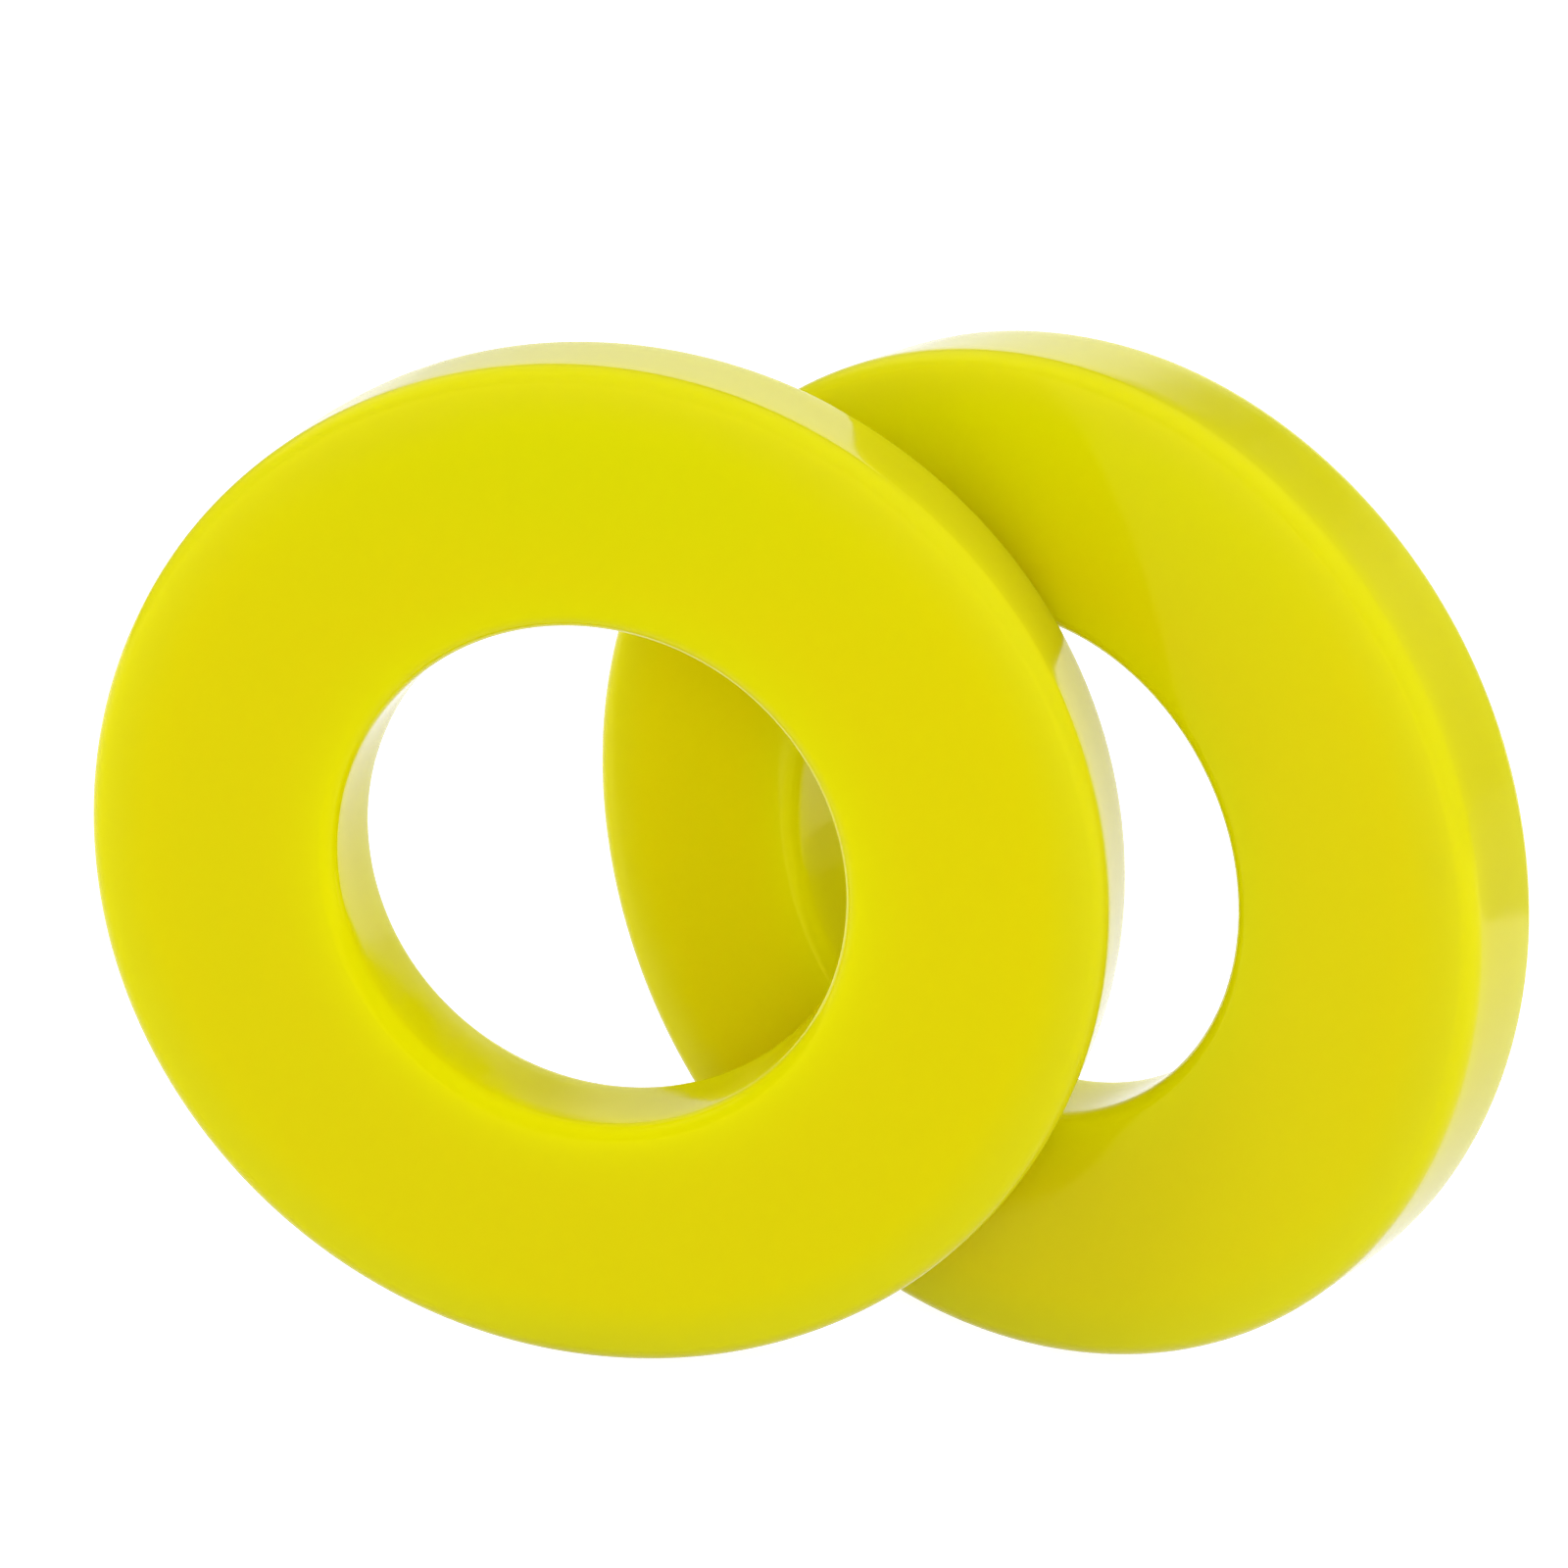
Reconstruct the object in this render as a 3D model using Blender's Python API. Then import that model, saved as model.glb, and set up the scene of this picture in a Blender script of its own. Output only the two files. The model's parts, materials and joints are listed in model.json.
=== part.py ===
"""A pair of thick, soft juggling rings, each moulded in one piece, standing on edge.

Metres, +Z up. Z = 0 is the surface that both rings stand on, and the origin is on it under the middle of
the pair's box. The front ring faces -Y. The rear ring stands behind it and to its right (+X), turned so
that its own front face looks partly towards -X. The front ring's right-hand rim reaches a little way into
the mouth of the rear ring's bore, and a small gap is kept all round it, so the rings stay two loose pieces.
"""

import math

import bmesh
import bpy
from mathutils import Matrix, Vector

# Driving dimensions, the same for both rings
OUTER_RADIUS = 0.0750
BORE_RADIUS = 0.0375
THICKNESS = 0.0180
EDGE_RADIUS = 0.0025

# Where the rear ring stands, counted from the front ring
REAR_RIGHT = 0.0602
REAR_BACK = 0.0199
REAR_TURN = math.radians(22.9)

# A multiple of four, so that one flat of the rim lies on the ground and others face the sides and the top
FLATS = 96
EDGE_SEGMENTS = 3
SHARP_ANGLE = math.radians(40)

YELLOW = (0.72, 0.64, 0.006, 1.0)
YELLOW_BEHIND = (0.70, 0.61, 0.004, 1.0)
GLOSS_ROUGHNESS = 0.22


def clear_scene():
    for obj in list(bpy.data.objects):
        bpy.data.objects.remove(obj, do_unlink=True)


def ring_reach(turn):
    """How far a standing ring reaches from its centre along X and along Y, when turned about Z."""
    rim = OUTER_RADIUS - EDGE_RADIUS
    depth = THICKNESS / 2 - EDGE_RADIUS
    along_x = rim * math.cos(turn) + depth * math.sin(turn) + EDGE_RADIUS
    along_y = rim * math.sin(turn) + depth * math.cos(turn) + EDGE_RADIUS
    return along_x, along_y


def front_ring_centre():
    """The front ring's centre, with the origin on the ground under the middle of the pair."""
    front_x, front_y = ring_reach(0.0)
    rear_x, rear_y = ring_reach(REAR_TURN)
    left = -front_x
    right = REAR_RIGHT + rear_x
    front = min(-front_y, REAR_BACK - rear_y)
    back = REAR_BACK + rear_y
    return Vector((-(left + right) / 2, -(front + back) / 2, OUTER_RADIUS))


def plastic(name, colour):
    """Soft glossy plastic, coloured right through."""
    material = bpy.data.materials.new(name)
    material.use_nodes = True
    shader = material.node_tree.nodes["Principled BSDF"]
    shader.inputs["Base Color"].default_value = colour
    shader.inputs["Roughness"].default_value = GLOSS_ROUGHNESS
    shader.inputs["Metallic"].default_value = 0.0
    material.diffuse_color = colour
    return material


def ring_mesh(name):
    """A rectangle turned once round Z. The flats of its rim and bore touch the true circles."""
    flat_angle = 2 * math.pi / FLATS
    corner_scale = 1 / math.cos(flat_angle / 2)
    outer = OUTER_RADIUS * corner_scale
    bore = BORE_RADIUS * corner_scale
    half = THICKNESS / 2

    bm = bmesh.new()
    corners = [(bore, half), (outer, half), (outer, -half), (bore, -half)]
    profile = [bm.verts.new((radius, 0.0, height)) for radius, height in corners]
    for start, end in zip(profile, profile[1:] + profile[:1]):
        bm.edges.new((start, end))
    bmesh.ops.spin(
        bm,
        geom=bm.verts[:] + bm.edges[:],
        axis=(0.0, 0.0, 1.0),
        cent=(0.0, 0.0, 0.0),
        angle=2 * math.pi,
        steps=FLATS,
        use_merge=True,
    )
    bmesh.ops.recalc_face_normals(bm, faces=bm.faces)
    bm.transform(Matrix.Rotation(flat_angle / 2, 4, "Z"))

    mesh = bpy.data.meshes.new(name)
    bm.to_mesh(mesh)
    bm.free()
    mesh.shade_smooth()
    mesh.set_sharp_from_angle(angle=SHARP_ANGLE)
    return mesh


def round_edges(obj):
    """Rounds the four circular edges of a ring."""
    bevel = obj.modifiers.new("rounded_edges", "BEVEL")
    bevel.width = EDGE_RADIUS
    bevel.segments = EDGE_SEGMENTS
    bevel.limit_method = "ANGLE"
    bevel.angle_limit = SHARP_ANGLE
    bevel.harden_normals = True


def make_ring(name, centre, turn, colour):
    """One standing ring. Its own Z axis is the ring's axis, pointing out of its front face."""
    obj = bpy.data.objects.new(name, ring_mesh(name))
    bpy.context.scene.collection.objects.link(obj)
    obj.location = centre
    obj.rotation_euler = (math.pi / 2, 0.0, turn)
    obj.data.materials.append(plastic(name + "_plastic", colour))
    round_edges(obj)
    return obj


def main():
    clear_scene()
    front_centre = front_ring_centre()
    rear_centre = front_centre + Vector((REAR_RIGHT, REAR_BACK, 0.0))
    make_ring("front_ring", front_centre, 0.0, YELLOW)
    make_ring("rear_ring", rear_centre, -REAR_TURN, YELLOW_BEHIND)
    bpy.context.view_layer.update()


main()
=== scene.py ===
import json
import math

import bmesh
import bpy
from mathutils import Matrix, Vector, noise


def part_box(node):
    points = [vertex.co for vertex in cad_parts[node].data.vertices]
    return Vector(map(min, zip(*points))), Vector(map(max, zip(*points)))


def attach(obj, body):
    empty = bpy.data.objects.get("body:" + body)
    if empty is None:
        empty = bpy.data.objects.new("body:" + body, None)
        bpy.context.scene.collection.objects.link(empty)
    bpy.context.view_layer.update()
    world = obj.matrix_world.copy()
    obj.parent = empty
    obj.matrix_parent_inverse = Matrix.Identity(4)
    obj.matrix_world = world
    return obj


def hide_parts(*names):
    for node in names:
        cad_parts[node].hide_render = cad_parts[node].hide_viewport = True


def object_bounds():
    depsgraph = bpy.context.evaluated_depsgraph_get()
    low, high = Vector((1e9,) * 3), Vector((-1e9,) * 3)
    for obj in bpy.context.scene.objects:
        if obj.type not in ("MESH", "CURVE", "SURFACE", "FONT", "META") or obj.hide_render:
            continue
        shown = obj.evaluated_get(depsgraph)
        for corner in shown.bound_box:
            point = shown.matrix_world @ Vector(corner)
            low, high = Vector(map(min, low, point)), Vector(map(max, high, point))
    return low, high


# Two thick, soft, yellow juggling rings standing on edge in a white studio.

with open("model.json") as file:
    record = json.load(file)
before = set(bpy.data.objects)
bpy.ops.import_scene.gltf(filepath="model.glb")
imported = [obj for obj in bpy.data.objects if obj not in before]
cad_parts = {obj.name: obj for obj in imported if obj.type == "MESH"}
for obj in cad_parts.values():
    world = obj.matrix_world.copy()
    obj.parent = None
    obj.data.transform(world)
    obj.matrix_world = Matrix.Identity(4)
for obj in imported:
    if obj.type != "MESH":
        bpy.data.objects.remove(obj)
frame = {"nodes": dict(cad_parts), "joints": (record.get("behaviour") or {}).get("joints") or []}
cad_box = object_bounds()

# ---------------------------------------------------------------- sizes, in metres

UP = Vector((0, 0, 1))

AROUND = 288            # steps round a ring
CORNER_STEPS = 10       # steps round each rounded edge of the profile
BAND_STEPS = 18         # steps across each flat face
WALL_STEPS = 6          # steps across the rim and across the bore wall
ON_FACE = 0.999         # the share of the half thickness beyond which a point is on a flat face

WAVE_DEPTH = 0.00012    # how far the soft skin wanders in from the true shape
WAVE_LENGTH = 0.028

EDGE_GLOW_BAND = 0.013       # how far in from the outer edge and from the bore the painted lemon glow reaches
RIM_SHADE_BAND = 0.010        # how far in from the outer edge the painted shade, a darker yellow, reaches
BAND_WANDER = 0.006     # how much those two come and go
GRAIN_DEPTH = 0.0004
SCATTER_DEPTH = 0.018   # how far light spreads inside the vinyl

# How fine each noise is, in waves to the metre
CLOUD_SCALE = 26
GRAIN_SCALE = 160
FIBRE_SCALE = 400

# The camera's angle, and its place from the front ring's centre, to its own level right and back
CAMERA_AZIMUTH = math.radians(13.35)
CAMERA_ELEVATION = math.radians(18.95)
CAMERA_RIGHT = 0.02625
CAMERA_BACK = 0.5765
CAMERA_ABOVE = 0.2100
CAMERA_LENS = 98.0      # in millimetres, as the sensor's width is
SENSOR_WIDTH = 36

FLOOR_REACH = 6.0

# A white card on the floor, seen only in reflections. It is cut away behind and to the right,
# where y is more than CARD_BACK and x - y is more than CARD_RIGHT.
CARD_BACK = 0.150
CARD_RIGHT = 0.100
CARD_FADE = 0.003       # how far its edge fades to each side

# ---------------------------------------------------------------- how bright the studio is

FLOOR_LOOK = 0.9        # added to the floor where the camera sees it, so that it looks white
FLOOR_FILL = 0.24       # added to the light it throws up on the rings
CARD_GLOW = 0.80        # added to the card's reflection in them

BACKDROP = 1.0          # the surround as the camera sees it
AMBIENT = 0.76          # the surround's even light on the rings

# The surround's reflection in the rings: a low band, a high band, and overhead. A side's light is
# gathered round its own direction, the more the larger the band's focus.
LOW_SIDES = {"front": 0.1, "right": 0.0, "back": 1.28, "left": 0.1}
LOW_FOCUS = 4
HIGH_SIDES = {"front": 0.05, "right": 0.05, "back": 0.05, "left": 1.1}
HIGH_FOCUS = 2
OVERHEAD = 0.5

# One gives way to the next as the sine of the elevation goes from the first number to the second
LOW_TO_HIGH = (0.38, 0.54)
HIGH_TO_OVERHEAD = (0.75, 0.92)

# The lamps: place from the middle of the pair's box, width across, and power in watts
LAMPS = {
    "front_lamp": (Vector((0.28, -1.05, 0.38)), 0.5, 3.1),
    "right_lamp": (Vector((0.96, -0.38, 0.60)), 1.0, 4.4),
    "left_lamp": (Vector((-0.98, -0.10, 0.38)), 0.8, 3.6),
}

# ---------------------------------------------------------------- the look of the materials

# Colours are linear
DEEP_YELLOW = (0.715, 0.640, 0.0010, 1)
LEMON = (0.676, 0.664, 0.0005, 1)
# painted shade: a darker, greyer yellow laid round the outer edge to damp its brightness
RIM_SHADE_YELLOW = (0.625, 0.585, 0.012, 1)
GLOSS_TINT = (1.0, 0.93, 0.03, 1)
PAPER = (0.42, 0.42, 0.417, 1)
PAPER_SHADE = (0.40, 0.40, 0.40, 1)
WHITE = (1, 1, 1, 1)

SCATTER_REACH = (1.0, 0.9, 0.12)  # how far each of red, green and blue spreads
VINYL_ROUGHNESS = (0.08, 0.16)    # in the hollows and on the tops of the grain
EDGE_GLOW_SHARE = 0.6                  # how much painted lemon glow there is at an edge
RIM_SHADE_SHARE = 0.75                  # how much of the painted shade's darker yellow there is at the outer edge
TOP_LIGHT_BAND = (0.40, 0.95)           # where the painted top light, a lemon wash, sets in and is full, in outer radii
BLOTCH = 0.12                     # how much the clouds change the share of lemon


# ---------------------------------------------------------------- the rings' shape

def measure_ring(node, front):
    """Where a CAD ring stands and what it measures. front points straight out of its front face."""
    low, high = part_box(node)
    centre = (low + high) / 2
    offsets = [vertex.co - centre for vertex in frame["nodes"][node].data.vertices]
    depths = [abs(offset.dot(front)) for offset in offsets]
    radii = [(offset - front * offset.dot(front)).length for offset in offsets]
    half = max(depths)
    outer = (high.z - low.z) / 2
    face_radius = max(r for r, d in zip(radii, depths) if d > half * ON_FACE)
    right = UP.cross(front)
    place = Matrix((right, UP, front)).transposed().to_4x4()
    place.translation = centre
    return {
        "place": place,
        "outer": outer,
        "bore": min(radii),
        "half": half,
        "edge": outer - face_radius,
    }


def straight(start, end, steps):
    """Points from start up to, but not including, end."""
    return [start.lerp(end, i / steps) for i in range(steps)]


def ring_profile(size):
    """The section through the ring as (radius, height) points: a rectangle with rounded corners."""
    edge = size["edge"]
    outer, bore, half = size["outer"] - edge, size["bore"] + edge, size["half"] - edge
    corners = [(bore, half, 180), (outer, half, 90), (outer, -half, 0), (bore, -half, -90)]
    sides = [BAND_STEPS, WALL_STEPS, BAND_STEPS, WALL_STEPS]
    points = []
    for i, (radius, height, start) in enumerate(corners):
        arc = []
        for step in range(CORNER_STEPS + 1):
            angle = math.radians(start - 90 * step / CORNER_STEPS)
            arc.append(Vector((radius + edge * math.cos(angle), height + edge * math.sin(angle))))
        next_radius, next_height, next_start = corners[(i + 1) % 4]
        turn = math.radians(next_start)
        next_point = Vector(
            (next_radius + edge * math.cos(turn), next_height + edge * math.sin(turn))
        )
        points += arc[:-1] + straight(arc[-1], next_point, sides[i])
    return points


def soften(bm, seed):
    """Lets the skin wander slightly inwards, as a soft moulding's does."""
    bm.normal_update()
    shift = Vector((seed, 0, 0))
    moves = []
    for vertex in bm.verts:
        wave = noise.noise(vertex.co / WAVE_LENGTH + shift)
        moves.append(vertex.normal * (-WAVE_DEPTH * (0.5 + 0.5 * wave)))
    for vertex, move in zip(bm.verts, moves):
        vertex.co += move


def make_ring(name, size, seed):
    """A ring turned from its section, standing where the CAD ring stands."""
    bm = bmesh.new()
    section = [bm.verts.new((p.x, 0, p.y)) for p in ring_profile(size)]
    for start, end in zip(section, section[1:] + section[:1]):
        bm.edges.new((start, end))
    bmesh.ops.spin(
        bm, geom=bm.verts[:] + bm.edges[:], axis=UP, cent=(0, 0, 0),
        angle=2 * math.pi, steps=AROUND, use_merge=True,
    )
    bmesh.ops.recalc_face_normals(bm, faces=bm.faces)
    soften(bm, seed)
    mesh = bpy.data.meshes.new(name)
    bm.to_mesh(mesh)
    bm.free()
    mesh.shade_smooth()
    ring = bpy.data.objects.new(name, mesh)
    bpy.context.scene.collection.objects.link(ring)
    ring.matrix_world = size["place"]
    return ring


# ---------------------------------------------------------------- materials

class Nodes:
    """Short calls for building a node tree."""

    def __init__(self, tree):
        self.tree = tree

    def add(self, kind, inputs=None, **settings):
        node = self.tree.nodes.new(kind)
        for key, value in settings.items():
            setattr(node, key, value)
        for key, value in (inputs or {}).items():
            if isinstance(value, bpy.types.NodeSocket):
                self.tree.links.new(value, node.inputs[key])
            else:
                node.inputs[key].default_value = value
        return node

    def math(self, operation, a, b=0.0):
        return self.add("ShaderNodeMath", {0: a, 1: b}, operation=operation).outputs[0]

    def ramp(self, value, low, high, out_low=0.0, out_high=1.0):
        """value from low..high to out_low..out_high, eased at both ends and held beyond them."""
        inputs = {"Value": value, "From Min": low, "From Max": high, "To Min": out_low, "To Max": out_high}
        node = self.add("ShaderNodeMapRange", inputs, interpolation_type="SMOOTHSTEP")
        return node.outputs["Result"]

    def by_ray(self, seen, reflected, cast):
        """One value for the camera, one for reflections, and one for the light cast on other things."""
        path = self.add("ShaderNodeLightPath").outputs
        light = self.add("ShaderNodeMix", {0: path["Is Glossy Ray"], 2: cast, 3: reflected}).outputs[0]
        return self.add("ShaderNodeMix", {0: path["Is Camera Ray"], 2: light, 3: seen}).outputs[0]

    def mix(self, share, a, b):
        node = self.add("ShaderNodeMix", {0: share, 6: a, 7: b}, data_type="RGBA")
        return node.outputs[2]


def vinyl(name, size, seed):
    """Soft, slightly translucent yellow vinyl, deep yellow in the middle of the band. The lemon at the edges
    and top is painted light, and the darker yellow round the outer edge is painted shade.
    """
    material = bpy.data.materials.new(name)
    material.use_nodes = True
    nodes = Nodes(material.node_tree)
    shader = material.node_tree.nodes["Principled BSDF"]

    place = nodes.add("ShaderNodeTexCoord").outputs["Object"]
    moved = nodes.add(
        "ShaderNodeVectorMath", {0: place, 1: (seed, seed, 0)}, operation="ADD"
    ).outputs[0]
    off_axis = nodes.add(
        "ShaderNodeVectorMath", {0: place, 1: (1, 1, 0)}, operation="MULTIPLY"
    ).outputs[0]
    radius = nodes.add("ShaderNodeVectorMath", {0: off_axis}, operation="LENGTH").outputs["Value"]

    clouds = nodes.add(
        "ShaderNodeTexNoise", {"Vector": moved, "Scale": CLOUD_SCALE, "Detail": 3, "Roughness": 0.55}
    ).outputs["Fac"]
    from_rim = nodes.math("SUBTRACT", size["outer"], radius)
    from_bore = nodes.math("SUBTRACT", radius, size["bore"])
    nearest = nodes.math("MINIMUM", from_rim, from_bore)
    wander = nodes.math("MULTIPLY", nodes.math("SUBTRACT", clouds, 0.5), BAND_WANDER)
    # painted light: lemon near the outer edge and the bore stands in for light glowing through the thin vinyl
    painted_edge_glow = nodes.ramp(nodes.math("ADD", nearest, wander), 0.0, EDGE_GLOW_BAND, EDGE_GLOW_SHARE, 0.0)
    up = nodes.add("ShaderNodeSeparateXYZ", {0: place}).outputs["Y"]
    # painted light: the upper part of each ring turns lemon, as if lit from above
    painted_top_light = nodes.ramp(up, *(size["outer"] * part for part in TOP_LIGHT_BAND))
    blotch = nodes.ramp(clouds, 0.25, 0.75, -BLOTCH, BLOTCH)
    # the tone holds painted light, the edge glow and the top light, as well as the random clouds
    tone = nodes.math("ADD", nodes.math("MAXIMUM", painted_edge_glow, painted_top_light), blotch)
    body = nodes.mix(tone, DEEP_YELLOW, LEMON)
    # painted shade: the outer edge is darkened, damping the bright rounded edge
    painted_rim_shade = nodes.ramp(nodes.math("ADD", from_rim, wander), 0.0, RIM_SHADE_BAND, RIM_SHADE_SHARE, 0.0)
    nodes.tree.links.new(nodes.mix(painted_rim_shade, body, RIM_SHADE_YELLOW), shader.inputs["Base Color"])

    grain = nodes.add(
        "ShaderNodeTexNoise", {"Vector": moved, "Scale": GRAIN_SCALE, "Detail": 4, "Roughness": 0.6}
    ).outputs["Fac"]
    nodes.tree.links.new(nodes.ramp(grain, 0.3, 0.7, *VINYL_ROUGHNESS), shader.inputs["Roughness"])
    bump = nodes.add(
        "ShaderNodeBump", {"Strength": 0.06, "Distance": GRAIN_DEPTH, "Height": grain}
    ).outputs["Normal"]
    nodes.tree.links.new(bump, shader.inputs["Normal"])

    shader.inputs["IOR"].default_value = 1.5
    shader.inputs["Specular Tint"].default_value = GLOSS_TINT
    shader.inputs["Subsurface Weight"].default_value = 0.9
    shader.inputs["Subsurface Radius"].default_value = SCATTER_REACH
    shader.inputs["Subsurface Scale"].default_value = SCATTER_DEPTH
    return material


def paper():
    """The pale floor: matt paper that looks white, with a white card on it that only reflections show."""
    material = bpy.data.materials.new("paper")
    material.use_nodes = True
    nodes = Nodes(material.node_tree)
    shader = material.node_tree.nodes["Principled BSDF"]
    place = nodes.add("ShaderNodeTexCoord").outputs["Object"]
    fibre = nodes.add(
        "ShaderNodeTexNoise", {"Vector": place, "Scale": FIBRE_SCALE, "Detail": 2}
    ).outputs["Fac"]
    tint = nodes.mix(fibre, PAPER, PAPER_SHADE)
    nodes.tree.links.new(tint, shader.inputs["Base Color"])
    shader.inputs["Roughness"].default_value = 0.9
    shader.inputs["Specular IOR Level"].default_value = 0.2
    shader.inputs["Emission Color"].default_value = WHITE

    x, y, _ = nodes.add("ShaderNodeSeparateXYZ", {0: place}).outputs
    past_back = nodes.math("SUBTRACT", y, CARD_BACK)
    past_right = nodes.math("SUBTRACT", nodes.math("SUBTRACT", x, y), CARD_RIGHT)
    past_card = nodes.math("MINIMUM", past_back, past_right)
    on_card = nodes.ramp(past_card, -CARD_FADE, CARD_FADE, CARD_GLOW, 0.0)
    glow = nodes.by_ray(seen=FLOOR_LOOK, reflected=on_card, cast=FLOOR_FILL)
    nodes.tree.links.new(glow, shader.inputs["Emission Strength"])
    return material


# ---------------------------------------------------------------- studio

def make_floor(height):
    bm = bmesh.new()
    bmesh.ops.create_grid(bm, x_segments=8, y_segments=8, size=FLOOR_REACH)
    mesh = bpy.data.meshes.new("floor")
    bm.to_mesh(mesh)
    bm.free()
    mesh.materials.append(paper())
    floor = bpy.data.objects.new("floor", mesh)
    bpy.context.scene.collection.objects.link(floor)
    floor.location.z = height


def make_world():
    """A white surround: even light, with a reflection set for each side, low down and higher up."""
    world = bpy.data.worlds.new("studio")
    world.use_nodes = True
    bpy.context.scene.world = world
    nodes = Nodes(world.node_tree)
    direction = nodes.add("ShaderNodeTexCoord").outputs["Generated"]
    height = nodes.add("ShaderNodeSeparateXYZ", {0: direction}).outputs["Z"]
    level = nodes.add("ShaderNodeVectorMath", {0: direction, 1: (1, 1, 0)}, operation="MULTIPLY")
    flat = nodes.add("ShaderNodeVectorMath", {0: level.outputs[0]}, operation="NORMALIZE")
    across, along, _ = nodes.add("ShaderNodeSeparateXYZ", {0: flat.outputs[0]}).outputs
    sides = {"right": (across, 1), "back": (along, 1), "left": (across, -1), "front": (along, -1)}

    above_low = nodes.ramp(height, *LOW_TO_HIGH)
    above_high = nodes.ramp(height, *HIGH_TO_OVERHEAD)
    low = nodes.math("SUBTRACT", 1.0, above_low)
    high = nodes.math("SUBTRACT", above_low, above_high)
    total = nodes.math("MULTIPLY", above_high, OVERHEAD)
    for band, focus, strengths in ((low, LOW_FOCUS, LOW_SIDES), (high, HIGH_FOCUS, HIGH_SIDES)):
        for side, strength in strengths.items():
            part, sign = sides[side]
            facing = nodes.math("MAXIMUM", nodes.math("MULTIPLY", part, sign), 0.0)
            share = nodes.math("MULTIPLY", nodes.math("POWER", facing, focus), strength)
            total = nodes.math("ADD", total, nodes.math("MULTIPLY", share, band))
    strength = nodes.by_ray(seen=BACKDROP, reflected=total, cast=AMBIENT)
    background = world.node_tree.nodes["Background"]
    nodes.tree.links.new(strength, background.inputs["Strength"])
    background.inputs["Color"].default_value = WHITE


def make_lamp(name, place, target, width, power):
    """A soft round lamp that lights the rings without showing in their gloss."""
    data = bpy.data.lights.new(name, "AREA")
    data.shape = "DISK"
    data.size = width
    data.energy = power
    lamp = bpy.data.objects.new(name, data)
    bpy.context.scene.collection.objects.link(lamp)
    lamp.location = place
    lamp.rotation_mode = "QUATERNION"
    lamp.rotation_quaternion = (target - place).to_track_quat("-Z", "Y")
    lamp.visible_camera = False
    lamp.visible_glossy = False


def make_camera(centre):
    data = bpy.data.cameras.new("camera")
    data.sensor_width = SENSOR_WIDTH
    data.lens = CAMERA_LENS
    camera = bpy.data.objects.new("camera", data)
    bpy.context.scene.collection.objects.link(camera)
    right = Vector((math.cos(CAMERA_AZIMUTH), math.sin(CAMERA_AZIMUTH), 0))
    ahead = UP.cross(right)
    camera.location = centre + right * CAMERA_RIGHT - ahead * CAMERA_BACK + UP * CAMERA_ABOVE
    camera.rotation_euler = (math.pi / 2 - CAMERA_ELEVATION, 0, CAMERA_AZIMUTH)
    bpy.context.scene.camera = camera


# ---------------------------------------------------------------- the scene

back_axis = Vector(frame["joints"][0]["axis"]).normalized()
front_size = measure_ring("front_ring", Vector((0, -1, 0)))
rear_size = measure_ring("rear_ring", -back_axis)

make_camera(front_size["place"].translation)

for node, size, seed in (("front_ring", front_size, 3.0), ("rear_ring", rear_size, 11.0)):
    ring = make_ring(node + "_vinyl", size, seed)
    ring.data.materials.append(vinyl(node + "_vinyl", size, seed))
    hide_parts(node)
    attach(ring, node)

middle = (cad_box[0] + cad_box[1]) / 2
make_floor(cad_box[0].z)
make_world()
for name, (offset, width, power) in LAMPS.items():
    make_lamp(name, middle + offset, middle, width, power)

view = bpy.context.scene.view_settings
view.view_transform = "Standard"
view.look = "None"
